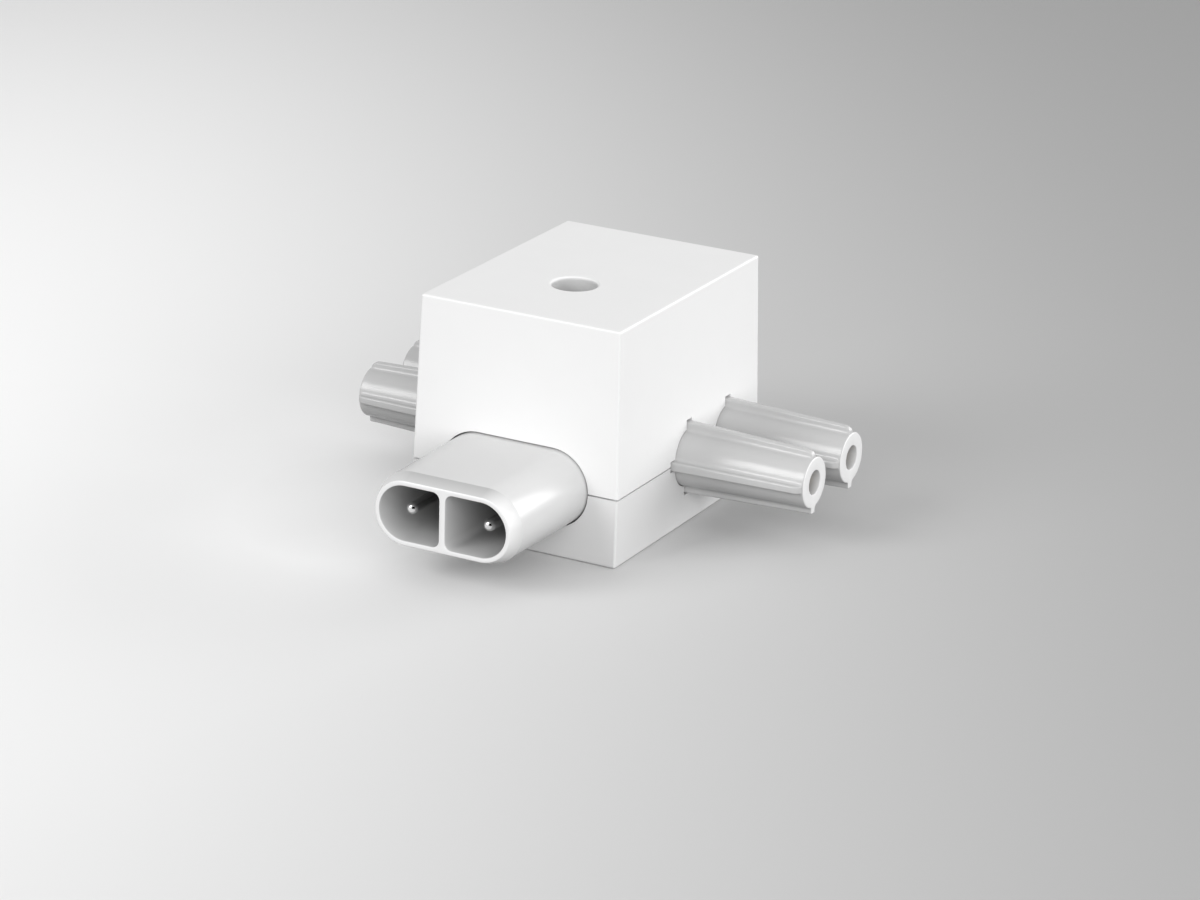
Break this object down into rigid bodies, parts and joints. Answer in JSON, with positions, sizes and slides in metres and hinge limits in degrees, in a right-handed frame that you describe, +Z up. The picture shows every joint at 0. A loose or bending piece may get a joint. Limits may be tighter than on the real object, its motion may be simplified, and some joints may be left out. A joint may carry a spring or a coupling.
{
  "type": "track light t-connector",
  "caption": "White block-shaped T-connector for lighting track, with a shrouded plug inlet in front, ribbed socket prongs on both sides and a screw well in the top.",
  "frame": {"origin": "centre of the casing's flat base", "axes": "+X to the right along the line of the side prongs, +Y to the back, away from the plug inlet, +Z up out of the top"},
  "size_m": [0.0662, 0.0582, 0.0315],
  "materials": {
    "white_casing": "satin",
    "white_moulding": "satin",
    "plated_pin": "polished",
    "contact_brass": "satin",
    "spring_steel": "satin",
    "screw_steel": "satin",
    "insulating_sheet": "matte"
  },
  "bodies": {
    "root": {"busbar_front": "contact_brass", "busbar_rear": "contact_brass", "busbar_rivets": "contact_brass", "casing_screws": "screw_steel", "inlet_pin_left": "plated_pin", "inlet_pin_right": "plated_pin", "inlet_shroud": "white_moulding", "insulating_plate": "insulating_sheet", "lower_casing": "white_casing", "prong_front_left": "white_moulding", "prong_front_right": "white_moulding", "prong_rear_left": "white_moulding", "prong_rear_right": "white_moulding", "socket_contact_front_left": "contact_brass", "socket_contact_front_right": "contact_brass", "socket_contact_rear_left": "contact_brass", "socket_contact_rear_right": "contact_brass", "spring_ring_front_left": "spring_steel", "spring_ring_front_right": "spring_steel", "spring_ring_rear_left": "spring_steel", "spring_ring_rear_right": "spring_steel", "upper_casing": "white_casing"}
  },
  "joints": []
}
